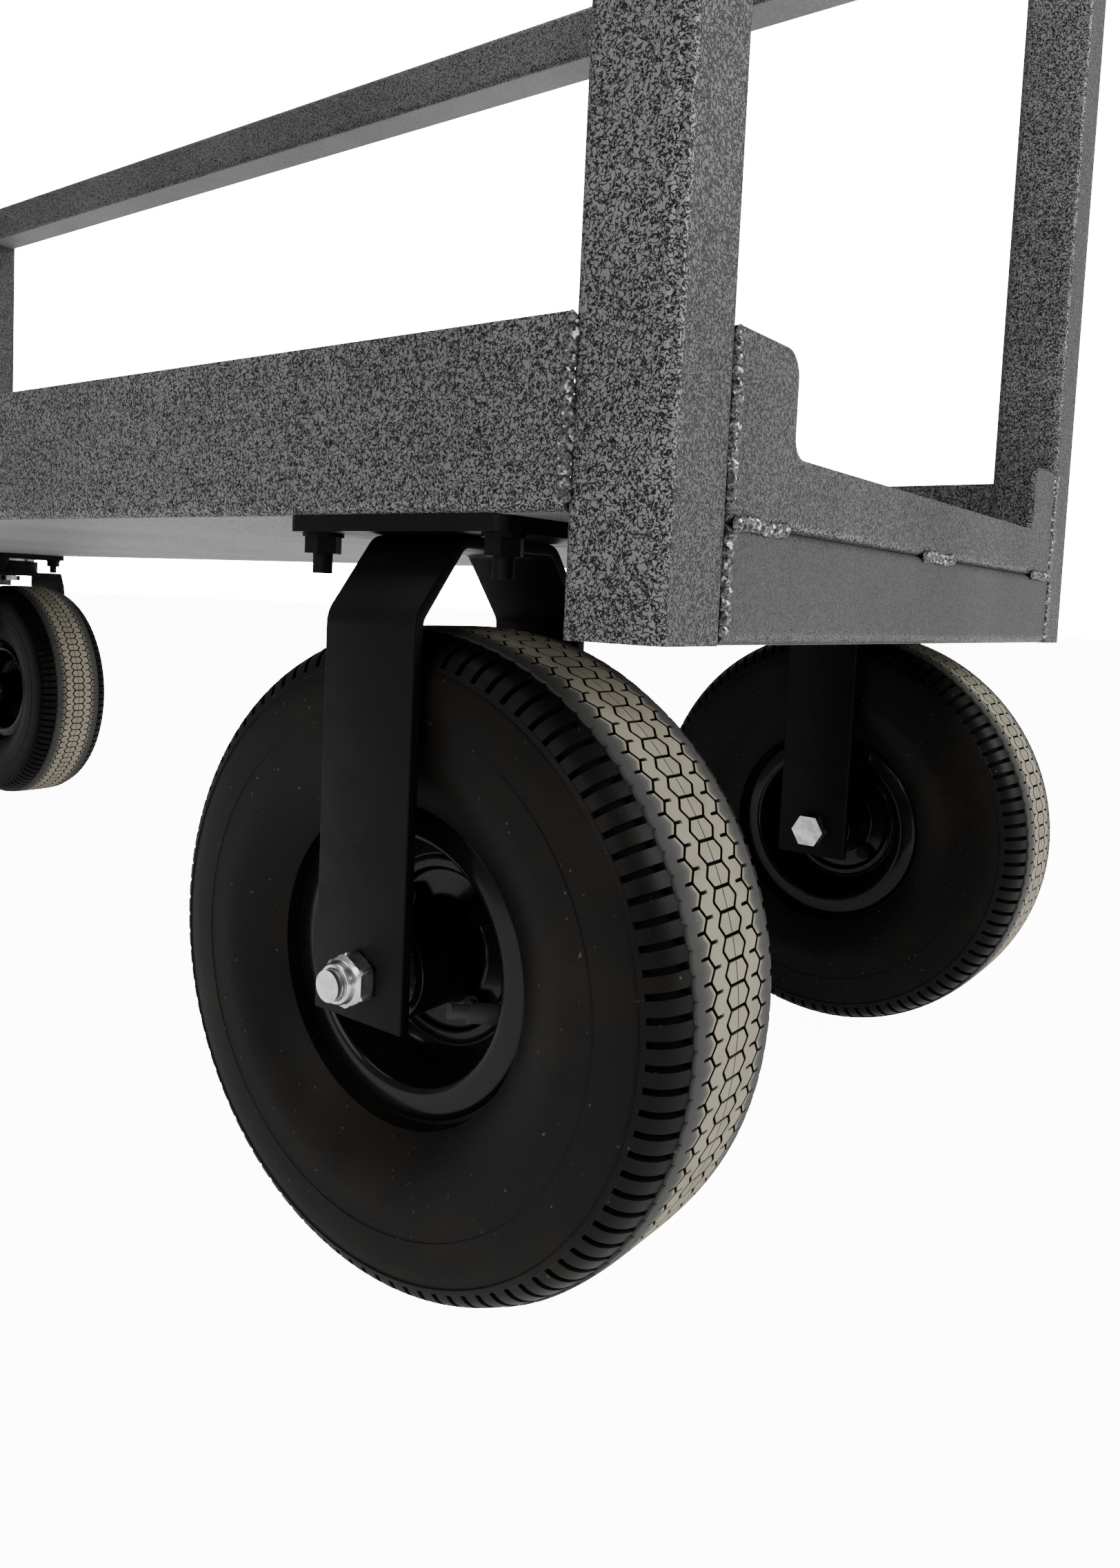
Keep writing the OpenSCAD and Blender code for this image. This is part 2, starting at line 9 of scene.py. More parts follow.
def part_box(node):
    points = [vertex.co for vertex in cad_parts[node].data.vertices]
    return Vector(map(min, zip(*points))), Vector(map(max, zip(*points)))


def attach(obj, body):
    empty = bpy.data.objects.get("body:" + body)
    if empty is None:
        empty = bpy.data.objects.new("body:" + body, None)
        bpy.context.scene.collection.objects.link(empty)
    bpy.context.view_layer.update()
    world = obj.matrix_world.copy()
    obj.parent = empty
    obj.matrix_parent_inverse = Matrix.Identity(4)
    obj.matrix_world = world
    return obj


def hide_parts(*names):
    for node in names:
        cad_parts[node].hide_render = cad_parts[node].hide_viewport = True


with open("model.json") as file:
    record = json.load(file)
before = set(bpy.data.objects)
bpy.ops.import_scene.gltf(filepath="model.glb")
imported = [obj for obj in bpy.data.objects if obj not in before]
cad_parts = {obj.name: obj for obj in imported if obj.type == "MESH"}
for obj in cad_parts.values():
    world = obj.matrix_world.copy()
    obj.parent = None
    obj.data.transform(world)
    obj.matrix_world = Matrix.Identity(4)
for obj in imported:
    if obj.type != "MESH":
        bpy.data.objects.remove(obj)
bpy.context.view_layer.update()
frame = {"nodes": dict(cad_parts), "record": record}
nodes = frame["nodes"]
scene = bpy.context.scene
print("frame loaded:", len(nodes), "nodes")

millimetre = 0.001
corners = ("rear_left", "rear_right", "front_left", "front_right")


# Camera, low beside the rear left wheel

cameraView = {
    "place": (-1.23259, 0.55076, 0.27985),
    "yaw": 53.372,  # to the right of the cart's length
    "dip": 4.0815,
    "roll": 2.6017,
    "lens": 25.75,
    "shiftUp": -0.0656,
}


def makeCamera(view):
    yaw = math.radians(view["yaw"])
    dip = math.radians(view["dip"])
    roll = math.radians(view["roll"])
    ahead = Vector((math.cos(dip) * math.cos(yaw), -math.cos(dip) * math.sin(yaw), -math.sin(dip)))
    levelRight = Vector((-math.sin(yaw), -math.cos(yaw), 0))
    levelUp = levelRight.cross(ahead)
    right = levelRight * math.cos(roll) + levelUp * math.sin(roll)
    up = levelUp * math.cos(roll) - levelRight * math.sin(roll)
    data = bpy.data.cameras.new("camera")
    data.sensor_width = 36
    data.lens = view["lens"]
    data.shift_y = view["shiftUp"]
    data.clip_start = 0.01
    camera = bpy.data.objects.new("camera", data)
    turn = Matrix((right, up, -ahead)).transposed().to_4x4()
    camera.matrix_world = Matrix.Translation(view["place"]) @ turn
    scene.collection.objects.link(camera)
    scene.camera = camera


makeCamera(cameraView)


# Small helpers for node materials

def newMaterial(name):
    material = bpy.data.materials.new(name)
    material.use_nodes = True
    tree = material.node_tree
    return material, tree, tree.nodes["Principled BSDF"]


def addNode(tree, kind, **inputs):
    node = tree.nodes.new(kind)
    for name, value in inputs.items():
        node.inputs[name].default_value = value
    return node


def noiseNode(tree, place, scale, detail=2.0, roughness=0.5, distortion=0.0):
    node = addNode(tree, "ShaderNodeTexNoise", Scale=scale, Detail=detail, Roughness=roughness,
                   Distortion=distortion)
    tree.links.new(place, node.inputs["Vector"])
    return node.outputs["Fac"]


def spread(tree, value, low, high, toLow=0.0, toHigh=1.0):
    node = addNode(tree, "ShaderNodeMapRange")
    node.interpolation_type = "SMOOTHSTEP"
    for socket, number in zip(node.inputs[1:5], (low, high, toLow, toHigh)):
        socket.default_value = number
    tree.links.new(value, node.inputs[0])
    return node.outputs[0]


def mixColour(tree, amount, first, second):
    node = tree.nodes.new("ShaderNodeMix")
    node.data_type = "RGBA"
    for socket, source in zip((node.inputs[0], node.inputs[6], node.inputs[7]), (amount, first, second)):
        if isinstance(source, (tuple, float)):
            socket.default_value = source
        else:
            tree.links.new(source, socket)
    return node.outputs[2]


def mathNode(tree, operation, first, second):
    node = tree.nodes.new("ShaderNodeMath")
    node.operation = operation
    for socket, source in zip(node.inputs, (first, second)):
        if isinstance(source, (int, float)):
            socket.default_value = source
        else:
            tree.links.new(source, socket)
    return node.outputs[0]


def bumpFrom(tree, shader, height, distance, strength=1.0):
    node = addNode(tree, "ShaderNodeBump", Strength=strength, Distance=distance)
    tree.links.new(height, node.inputs["Height"])
    tree.links.new(node.outputs["Normal"], shader.inputs["Normal"])


def grey(level, warmth=0.0):
    return (level * (1 + warmth), level, level * (1 - warmth), 1.0)


# Paint and metal

hammered = {
    "coarse": {"cell": 0.92, "vein": (0.02, 0.105), "dark": 0.004, "light": 0.15, "bump": 0.34},
    "fine": {"cell": 0.7, "vein": (0.0, 0.11), "dark": 0.018, "light": 0.085, "bump": 0.16},
    "endShadeTone": 0.056,  # painted shading: the flat tone given to faces at the cart's ends for how the light falls on them
    "cellPitch": 1.6,
    "warmth": 0.02,
    "metallic": 0.35,
    "shine": 0.22,
    "roughVein": 0.75,
    "roughCell": 0.40,
    # painted reflection: light grey for faces that look down at the pale floor
    "floorReflection": 0.2,
    "smear": 0.2,  # darker patches on the underside
    "fleck": 0.34,
    "fleckShare": 0.22,
    "endShadeShare": 0.45,
    "cloudScale": 9,
    "smearScale": 26,
}


def hammeredPaint(name, finish):
    material, tree, shader = newMaterial(name)
    texture = tree.nodes.new("ShaderNodeTexCoord")
    place = texture.outputs["Object"]
    scale = 1 / (finish["cell"] * hammered["cellPitch"] * millimetre)
    # veins run where the noise crosses its middle, so they join up round the cells
    level = noiseNode(tree, place, scale, detail=1.5, roughness=0.5, distortion=0.6)
    veins = mathNode(tree, "ABSOLUTE", mathNode(tree, "SUBTRACT", level, 0.5), 0.0)
    cells = spread(tree, veins, *finish["vein"])
    cloud = spread(tree, noiseNode(tree, place, hammered["cloudScale"], detail=3), 0.3, 0.7, 0.86, 1.1)
    flecks = spread(tree, noiseNode(tree, place, scale * 1.6, detail=1), 0.64, 0.74)
    colour = mixColour(tree, cells, grey(finish["dark"], hammered["warmth"]),
                       grey(finish["light"], hammered["warmth"]))
    colour = mixColour(tree, mathNode(tree, "MULTIPLY", flecks, hammered["fleckShare"]), colour,
                       grey(hammered["fleck"], 0.03))
    # painted shading: end faces get a flat tone for how the light falls on them, and the folded sheet's
    # underside gets a painted reflection of the pale floor
    normalParts = tree.nodes.new("ShaderNodeSeparateXYZ")
    tree.links.new(texture.outputs["Normal"], normalParts.inputs[0])
    below = spread(tree, normalParts.outputs[2], -0.98, -0.9, 1.0, 0.0)
    endward = mathNode(tree, "ABSOLUTE", normalParts.outputs[0], 0.0)
    # painted shading on the end faces, mixed in by how far a face points along the cart
    endShade = spread(tree, endward, 0.9, 0.98, 0.0, hammered["endShadeShare"])
    colour = mixColour(tree, endShade, colour, grey(hammered["endShadeTone"], hammered["warmth"]))
    smear = spread(tree, noiseNode(tree, place, hammered["smearScale"], detail=4, roughness=0.6), 0.3, 0.75,
                   0.8, 1.0)
    # painted reflection: downward faces take a light grey that stands in for the white floor they reflect
    floorReflectionTone = mixColour(tree, smear, grey(hammered["smear"]), grey(hammered["floorReflection"]))
    colour = mixColour(tree, mathNode(tree, "MULTIPLY", below, 0.9), colour, floorReflectionTone)
    toned = tree.nodes.new("ShaderNodeVectorMath")
    toned.operation = "SCALE"
    tree.links.new(colour, toned.inputs[0])
    tree.links.new(cloud, toned.inputs["Scale"])
    tree.links.new(toned.outputs[0], shader.inputs["Base Color"])
    rough = spread(tree, cells, 0, 1, hammered["roughVein"], hammered["roughCell"])
    tree.links.new(rough, shader.inputs["Roughness"])
    shader.inputs["Metallic"].default_value = hammered["metallic"]
    shader.inputs["Specular IOR Level"].default_value = hammered["shine"]
    bumpFrom(tree, shader, cells, finish["bump"] * millimetre, 0.8)
    return material


# glintTone is the colour of painted highlights on the weld drops
weldPaint = {"dark": 0.012, "light": 0.11, "glintTone": 0.6, "rough": 0.3, "metallic": 0.6}


def weldFinish(name, finish):
    material, tree, shader = newMaterial(name)
    place = tree.nodes.new("ShaderNodeTexCoord").outputs["Object"]
    cells = spread(tree, noiseNode(tree, place, 620, detail=2, distortion=0.8), 0.38, 0.62)
    # painted glints: bright specks stand in for highlights on the weld drops
    specks = spread(tree, noiseNode(tree, place, 430, detail=1), 0.6, 0.7)
    colour = mixColour(tree, cells, grey(finish["dark"]), grey(finish["light"]))
    colour = mixColour(tree, specks, colour, grey(finish["glintTone"]))
    tree.links.new(colour, shader.inputs["Base Color"])
    shader.inputs["Roughness"].default_value = finish["rough"]
    shader.inputs["Metallic"].default_value = finish["metallic"]
    bumpFrom(tree, shader, cells, 0.3 * millimetre, 0.7)
    return material


satinBlack = {"tone": 0.0022, "rough": 0.42, "peel": 0.05, "dust": 0.03, "shine": 0.08}


def satinPaint(name, finish, gloss=0.0):
    material, tree, shader = newMaterial(name)
    place = tree.nodes.new("ShaderNodeTexCoord").outputs["Object"]
    peel = noiseNode(tree, place, 520, detail=2)
    wear = noiseNode(tree, place, 38, detail=5, roughness=0.65)
    dust = spread(tree, noiseNode(tree, place, 900, detail=2), 0.66, 0.78, 0, finish["dust"])
    colour = mixColour(tree, dust, grey(finish["tone"], 0.05), grey(0.30, 0.12))
    tree.links.new(colour, shader.inputs["Base Color"])
    rough = spread(tree, wear, 0.25, 0.75, finish["rough"] - 0.07, finish["rough"] + 0.09)
    tree.links.new(rough, shader.inputs["Roughness"])
    shader.inputs["Specular IOR Level"].default_value = finish["shine"]
    shader.inputs["Coat Weight"].default_value = gloss
    shader.inputs["Coat Roughness"].default_value = 0.08
    bumpFrom(tree, shader, peel, finish["peel"] * millimetre, 0.6)
    return material


def zincPlate(name):
    material, tree, shader = newMaterial(name)
    place = tree.nodes.new("ShaderNodeTexCoord").outputs["Object"]
    bloom = noiseNode(tree, place, 160, detail=4, roughness=0.6)
    colour = mixColour(tree, spread(tree, bloom, 0.35, 0.7), grey(0.56, -0.01), (0.42, 0.43, 0.42, 1))
    tree.links.new(colour, shader.inputs["Base Color"])
    tree.links.new(spread(tree, bloom, 0.3, 0.7, 0.2, 0.36), shader.inputs["Roughness"])
    shader.inputs["Metallic"].default_value = 1.0
    bumpFrom(tree, shader, noiseNode(tree, place, 1400, detail=2), 0.02 * millimetre, 0.5)
    return material


def plasticGrain(name):
    material, tree, shader = newMaterial(name)
    place = tree.nodes.new("ShaderNodeTexCoord").outputs["Object"]
    grain = noiseNode(tree, place, 1500, detail=3)
    tree.links.new(mixColour(tree, grain, grey(0.014), grey(0.03)), shader.inputs["Base Color"])
    tree.links.new(spread(tree, grain, 0.3, 0.7, 0.5, 0.68), shader.inputs["Roughness"])
    bumpFrom(tree, shader, grain, 0.08 * millimetre, 0.7)
    return material


# Tyre rubber: near black, with dust on the faces that touch the ground

rubber = {
    "black": (0.0030, 0.0026, 0.0022, 1),
    "tan": (0.235, 0.215, 0.165, 1),
    "slate": (0.075, 0.076, 0.075, 1),
    "shine": 0.075,
    "roughWall": 0.46,
    "roughTread": 0.85,
}


def tyreRubber(name, finish):
    material, tree, shader = newMaterial(name)
    place = tree.nodes.new("ShaderNodeTexCoord").outputs["Object"]
    dustAndCutShade = tree.nodes.new("ShaderNodeAttribute")
    dustAndCutShade.attribute_name = "dust"
    patch = noiseNode(tree, place, 55, detail=5, roughness=0.65)
    fine = noiseNode(tree, place, 700, detail=3)
    top = mathNode(tree, "MAXIMUM", dustAndCutShade.outputs["Fac"], 0.0)
    dust = mathNode(tree, "MULTIPLY", top, spread(tree, patch, 0.2, 0.6, 0.72, 1.0))
    dusty = mixColour(tree, spread(tree, dustAndCutShade.outputs["Fac"], 0.55, 0.9), finish["slate"], finish["tan"])
    colour = mixColour(tree, dust, finish["black"], dusty)
    film = spread(tree, noiseNode(tree, place, 18, detail=4), 0.45, 0.75, 0, 0.02)
    colour = mixColour(tree, film, colour, (0.20, 0.16, 0.12, 1))
    specks = spread(tree, noiseNode(tree, place, 420, detail=1), 0.74, 0.8, 0, 0.16)
    colour = mixColour(tree, specks, colour, (0.24, 0.21, 0.17, 1))
    # painted shade: the tread's cuts and slots are coloured near black over dust, film and specks
    cutShade = spread(tree, dustAndCutShade.outputs["Fac"], -0.8, -0.1, 1.0, 0.0)
    colour = mixColour(tree, cutShade, colour, grey(0.003))
    tree.links.new(colour, shader.inputs["Base Color"])
    rough = spread(tree, dust, 0, 1, finish["roughWall"], finish["roughTread"])
    tree.links.new(mathNode(tree, "MAXIMUM", rough, cutShade), shader.inputs["Roughness"])
    shader.inputs["Specular IOR Level"].default_value = finish["shine"]
    bumpFrom(tree, shader, fine, 0.07 * millimetre, 0.6)
    return material


coarsePaint = hammeredPaint("hammeredCoarse", hammered["coarse"])
finePaint = hammeredPaint("hammeredFine", hammered["fine"])
weldGreyWithGlints = weldFinish("weldGreyWithGlints", weldPaint)
blackSteel = satinPaint("blackSteel", satinBlack)
rimGloss = satinPaint("rimGloss", {**satinBlack, "rough": 0.26, "dust": 0.03, "tone": 0.003}, gloss=0.16)
zinc = zincPlate("zinc")
capPlastic = plasticGrain("capPlastic")
treadRubber = tyreRubber("treadRubber", rubber)
print("materials made")


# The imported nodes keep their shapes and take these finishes

fineNodes = ("rear_tube", "front_tube", "top_rail_front", "drawbar_lugs")
finishOf = {
    "hammered_grey": coarsePaint,
    "black_steel": blackSteel,
    "zinc": zinc,
    "tyre": treadRubber,
    "valve_rubber": capPlastic,
    "cap_plastic": capPlastic,
}


def dressNodes():
    slotOf = {row["node"]: row["material_slot"] for row in frame["record"]["subparts"]}
    for name, node in nodes.items():
        finish = finePaint if name in fineNodes else finishOf[slotOf[name]]
        if name.startswith("rim_bolts"):
            finish = blackSteel  # given the black finish instead of their zinc slot
        if not node.material_slots:
            node.data.materials.append(finish)
        for materialSlot in node.material_slots:
            materialSlot.material = finish


dressNodes()


# Mesh helpers

def meshObject(name, points, faces, finish, sharpAngle=35):
    mesh = bpy.data.meshes.new(name)
    mesh.from_pydata([tuple(p) for p in points], [], faces)
    mesh.validate()
    mesh.shade_smooth()
    mesh.set_sharp_from_angle(angle=math.radians(sharpAngle))
    mesh.materials.append(finish)
    piece = bpy.data.objects.new(name, mesh)
    scene.collection.objects.link(piece)
    return piece


def gridFaces(rows, columns, wrapRows, wrapColumns):
    faces = []
    for row in range(rows if wrapRows else rows - 1):
        nextRow = (row + 1) % rows
        for column in range(columns if wrapColumns else columns - 1):
            nextColumn = (column + 1) % columns
            faces.append((row * columns + column, row * columns + nextColumn,
                          nextRow * columns + nextColumn, nextRow * columns + column))
    return faces


def wheelCentre(corner):
    low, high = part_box("tyre_" + corner)
    return (low + high) / 2


def seatOnWheel(piece, corner, replaced):
    # pieces are made for the left side and turned round for the right
    turn = Matrix.Identity(4) if corner.endswith("left") else Matrix.Rotation(math.pi, 4, "Z")
    piece.matrix_world = Matrix.Translation(wheelCentre(corner)) @ turn
    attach(piece, "wheel_" + corner)
    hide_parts(replaced)


# Tyre: the section is swept round, and the tread is cut by a depth at each point

tread = {
    "pitches": 100,
    "hexHalf": 6.4,  # middle of the groove beside the middle row
    "ribHalf": 16.2,  # middle of the groove outside the ribs
    "edgeHalf": 27.0,  # the scalloped edge of the tread
    "zigzag": 1.35,
    "groove": 0.85,  # half width at the top
    "grooveFoot": 0.55,
    "grooveDepth": 2.6,
    "slitDepth": 0.7,  # the thin cut along the middle row
    "hookIn": 3.2,
    "hookOut": 3.6,
    "hookDepth": 1.6,
    "scallop": 1.3,
    "slotEnd": 45.5,
    "slotDepth": 3.0,
    "slotHalf": 0.14,  # of a pitch
    "ringLine": 48.5,
    "ringHeight": 0.65,
    "wallLine": 66.0,
    "wallHeight": 0.35,
    "tangentStep": 0.3,
    "crownPower": 4.4,
    "footPower": 1.8,
    "wideRadius": 92.0,
    "beadRadius": 51.5,
    "foot": 45.0,
}


def tyreSection(spec, radius, halfWidth):
    # points (across, out) from the crown's middle down one side, with the distance along them
    crown = radius - spec["wideRadius"]
    points = []
    for degree in np.linspace(90, -80, 700):
        angle = math.radians(degree)
        power = spec["crownPower"] if degree >= 0 else spec["footPower"]
        reach = crown if degree >= 0 else spec["foot"]
        out = spec["wideRadius"] + math.copysign(reach * abs(math.sin(angle)) ** (2 / power), degree)
        across = halfWidth * abs(math.cos(angle)) ** (2 / power)
        points.append((across, out))
    points = np.array(points)
    along = np.concatenate([[0], np.cumsum(np.hypot(*np.diff(points, axis=0).T))])
    return points, along


def grooveCut(distance, half, foot, depth):
    return depth * np.clip((half - np.abs(distance)) / (half - foot), 0, 1)


def tyreMesh(spec, radius, halfWidth, flangeRadius, flangeHalf):
    section, along = tyreSection(spec, radius, halfWidth)
    lipAlong = float(np.interp(-flangeRadius, -section[:, 1], along))
    half, foot = spec["groove"], spec["grooveFoot"]
    cuts = [0, 0.22, 0.3, 2.2, 4.0]
    for middle in (spec["hexHalf"], spec["ribHalf"]):
        for reach in (foot, half - 0.06, half, half + 0.25):
            cuts += [middle - reach, middle + reach]
    cuts += [8.8, 11.3, 13.4, 18.8, 21.5, 24.5]
    edge = spec["edgeHalf"]
    cuts += [edge - 0.5, edge, edge + 0.4, edge + 1.2, edge + 1.6]
    cuts += list(np.linspace(edge + 3, spec["slotEnd"] - 1.0, 11))
    cuts += [spec["slotEnd"], spec["slotEnd"] + 0.35]
    for line in (spec["ringLine"], spec["wallLine"]):
        cuts += [line - 0.4, line - 0.15, line + 0.25, line + 0.6]
    cuts += list(np.linspace(spec["ringLine"] + 2.5, spec["wallLine"] - 2, 7))
    cuts += list(np.linspace(spec["wallLine"] + 2.5, lipAlong, 18))
    cuts = np.array(sorted(cuts))
    across = np.concatenate([-cuts[::-1], cuts[1:]])

    # where each row of points falls within its pitch, -0.5 to 0.5
    slotHalf = spec["slotHalf"]
    phases = np.array([-0.5, -0.45, -0.42, -0.33, -slotHalf - 0.02, -slotHalf + 0.02, -0.075,
                       -0.045, 0.045, 0.075, slotHalf - 0.02, slotHalf + 0.02, 0.33, 0.42, 0.45])
    pitches = spec["pitches"]
    turns = (np.arange(pitches)[:, None] + phases[None, :] + 0.5).ravel() / pitches * 2 * math.pi
    phase = np.tile(phases, pitches)
    # a is the distance from the crown's middle, v the place within the pitch
    a = np.abs(across)[None, :]
    sideSign = np.sign(across)[None, :]
    v = phase[:, None]
    wave = np.clip(2.4 * (0.25 - np.abs(v)), -0.5, 0.5)  # wide in the pitch's middle, narrow at its ends
    pull = np.interp(a, [0, 0.5, spec["hexHalf"] - 0.9, spec["ribHalf"] + 0.9, edge - 1, edge + 6],
                     [0, 0, 1, 1, 0, 0])
    scallopWave = np.sqrt(np.clip(1 - (np.abs(v) / 0.5) ** 2.5, 0, 1)) - 0.7
    scallopPull = np.interp(a, [0, edge - 5, edge - 0.5, edge + 0.4, edge + 3], [0, 0, 1, 1, 0])
    walk = a + 2 * spec["zigzag"] * wave * pull + spec["scallop"] * scallopWave * scallopPull

    depth = np.zeros_like(walk)
    for middle in (spec["hexHalf"], spec["ribHalf"]):
        depth = np.maximum(depth, grooveCut(a - middle, half, foot, spec["grooveDepth"]) + 0 * v)
    halfPitch = np.abs(np.abs(v) - 0.5)
    endCut = np.clip((0.08 - halfPitch) / 0.03, 0, 1)
    inHex = (a < spec["hexHalf"])
    depth = np.maximum(depth, np.where(inHex, 0.75 * spec["grooveDepth"] * endCut, 0))
    # thin cuts: along the middle row, and hooks at each peak of the zigzag
    depth = np.maximum(depth, np.where((a < 0.25) & (np.abs(v) < 0.34), spec["slitDepth"], 0))
    hook = np.clip((0.075 - np.abs(v)) / 0.03, 0, 1)
    ribIn = ((a > spec["ribHalf"] - spec["hookIn"]) & (a < spec["ribHalf"] + 0.4))
    hookOut = np.clip((0.08 - halfPitch) / 0.03, 0, 1)
    ribOut = ((a > spec["ribHalf"]) & (a < spec["ribHalf"] + spec["hookOut"]))
    depth = np.maximum(depth, np.where(ribIn, spec["hookDepth"] * hookOut, 0))
    depth = np.maximum(depth, np.where(ribOut, spec["hookDepth"] * hook, 0))
    # radial slots in the shoulder
    inSlot = (a >= edge + 0.9) & (a < spec["slotEnd"] + 0.1)
    slotCut = np.clip((slotHalf - np.abs(v)) / 0.04 + 0.5, 0, 1)
    depth = np.maximum(depth, np.where(inSlot, spec["slotDepth"] * slotCut, 0))
    fall = np.interp(a, [0, edge - 0.5, edge + 0.4, edge + 1.2, spec["slotEnd"] - 4, spec["slotEnd"] + 0.4],
                     [0, 0, 0.8, 0.9, 0.5, 0.7])
    ridge = np.zeros_like(a)
    for line, height in ((spec["ringLine"], spec["ringHeight"]), (spec["wallLine"], spec["wallHeight"])):
        ridge = ridge + height * np.clip((0.42 - np.abs(a - line - 0.05)) / 0.25, 0, 1)
    fall = np.where(a > spec["slotEnd"] + 0.3, 0.5, fall)
    sink = depth + fall - ridge

    def onSection(distance):
        return np.interp(distance, along, section[:, 0]), np.interp(distance, along, section[:, 1])

    step = spec["tangentStep"]
    width, out = onSection(walk)
    aheadWidth, aheadOut = onSection(walk + step)
    backWidth, backOut = onSection(np.maximum(walk - step, 0))
    tangentX, tangentY = aheadWidth - backWidth, aheadOut - backOut
    size = np.hypot(tangentX, tangentY)
    width = (width + sink * tangentY / size) * np.where(sideSign == 0, 1, sideSign)
    out = out - sink * tangentX / size
    skin = np.stack([out * np.cos(turns)[:, None], width, out * np.sin(turns)[:, None]], axis=2)

    # the foot, inside the rim's flanges, closes the section
    bead = spec["beadRadius"]
    footHalf = [(flangeHalf, flangeRadius), (flangeHalf, bead), (flangeHalf - 9, bead),
                (flangeHalf - 10, flangeRadius)]
    footPoints = footHalf + [(-wide, high) for wide, high in reversed(footHalf)]
    footRows = np.array([[(high * math.cos(turn), wide, high * math.sin(turn)) for wide, high in footPoints]
                         for turn in turns])
    points = np.concatenate([skin, footRows], axis=1)
    rows, columns = points.shape[:2]
    faces = gridFaces(rows, columns, True, True)
    dust = np.where((a < edge - 0.3) & (depth < 0.2), np.interp(a, [0, 17, 18, 27], [1, 1, 0.7, 0.45]), 0.0)
    dust = np.where((a >= edge - 0.6) & (a < edge + 0.3), 0.4, dust)
    dust = np.where(depth > 0.4, -1.0, dust)  # painted shade in the cuts: they are marked -1 and coloured clean near black
    dust = np.concatenate([dust + 0 * v, np.zeros((rows, len(footPoints)))], axis=1)
    return points.reshape(-1, 3) * millimetre, faces, dust.ravel()


def makeTyres(spec):
    low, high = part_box("tyre_rear_left")
    rimLow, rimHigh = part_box("rim_rear_left")
    radius = (high.z - low.z) / 2 / millimetre
    halfWidth = (high.y - low.y) / 2 / millimetre - 0.2
    flangeRadius = (rimHigh.z - rimLow.z) / 2 / millimetre + 0.6
    points, faces, dust = tyreMesh(spec, radius, halfWidth, flangeRadius, 26.0)
    first = None
    for corner in corners:
        if first is None:
            piece = meshObject("tyreTread_" + corner, points, faces, treadRubber, 28)
            # the dust attribute also marks the cuts, at -1, for painted shade
            attribute = piece.data.attributes.new("dust", "FLOAT", "POINT")
            attribute.data.foreach_set("value", dust.astype(np.float32))
            first = piece.data
        else:
            piece = bpy.data.objects.new("tyreTread_" + corner, first)
            scene.collection.objects.link(piece)
        seatOnWheel(piece, corner, "tyre_" + corner)
    print("tyres made:", len(points), "points each")


makeTyres(tread)


# Rim: a deep pressed dish on each side, turned in one piece

rimDish = {
    "turns": 160,
    "half": 29.0,
    "disc": 2.5,
    "ring": (34.0, 38.0),
    "ringHeight": 2.6,
}


def softOutline(points, radius, steps=4):
    # rounds the corners of an open outline
    result = [points[0]]
    for before, corner, after in zip(points, points[1:], points[2:]):
        before, corner, after = map(Vector, (before, corner, after))
        cut = min(radius, (before - corner).length * 0.45, (after - corner).length * 0.45)
        start = corner + (before - corner).normalized() * cut
        end = corner + (after - corner).normalized() * cut
        for step in range(steps + 1):
            t = step / steps
            result.append(tuple(start * (1 - t) ** 2 + corner * 2 * t * (1 - t) + end * t * t))
    result.append(points[-1])
    return result


def lathe(name, outline, turns, finish):
    points = []
    for turn in range(turns):
        angle = 2 * math.pi * turn / turns
        points += [Vector((out * math.cos(angle), across, out * math.sin(angle))) * millimetre
                   for across, out in outline]
    faces = gridFaces(turns, len(outline), True, True)
    return meshObject(name, points, [tuple(reversed(f)) for f in faces], finish, 40)


def rimOutline(spec, rimRadius, rimHalf, hubHalf):
    disc = spec["disc"]
    ringIn, ringOut = spec["ring"]
    dish = [(hubHalf, 17.5), (hubHalf, 20.6), (hubHalf - 0.6, 21.0), (disc, 21.0), (disc, ringIn - 1),
            (disc + spec["ringHeight"], ringIn), (disc + spec["ringHeight"], ringOut),
            (disc + 1, ringOut + 1.6),
            (disc + 6, 43.5), (rimHalf - 11.5, 46.5), (rimHalf - 6.5, 48.4), (rimHalf - 1.4, 49.8),
            (rimHalf, 52.2), (rimHalf - 0.3, 55), (rimHalf - 1.6, rimRadius - 3),
            (rimHalf - 3.2, rimRadius - 0.6),
            (rimHalf - 4.2, rimRadius), (rimHalf - 4.8, rimRadius - 1)]
    back = [(rimHalf - 2.5, 51.0), (rimHalf - 9.5, 50.9), (rimHalf - 14.5, 48.0), (disc, 47.0)]
    half = softOutline(dish, 2.2) + back
    return half + [(-across, out) for across, out in reversed(half)]


def makeRims(spec):
    low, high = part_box("rim_rear_left")
    rimRadius = (high.z - low.z) / 2 / millimetre
    hubHalf = (high.y - low.y) / 2 / millimetre
    outline = rimOutline(spec, rimRadius, spec["half"], hubHalf)
    first = None
    for corner in corners:
        if first is None:
            piece = lathe("rimDish_" + corner, outline, spec["turns"], rimGloss)
            first = piece.data
        else:
            piece = bpy.data.objects.new("rimDish_" + corner, first)
            scene.collection.objects.link(piece)
        seatOnWheel(piece, corner, "rim_" + corner)
    print("rims made")


makeRims(rimDish)


# Axle nuts: a chamfered hexagon with a raised collar, and the bolt's end in it

lockNut = {"around": 96}


def hexRadius(acrossFlats, angle):
    sector = (angle + math.pi / 6) % (math.pi / 3) - math.pi / 6
    return acrossFlats / 2 / math.cos(sector)


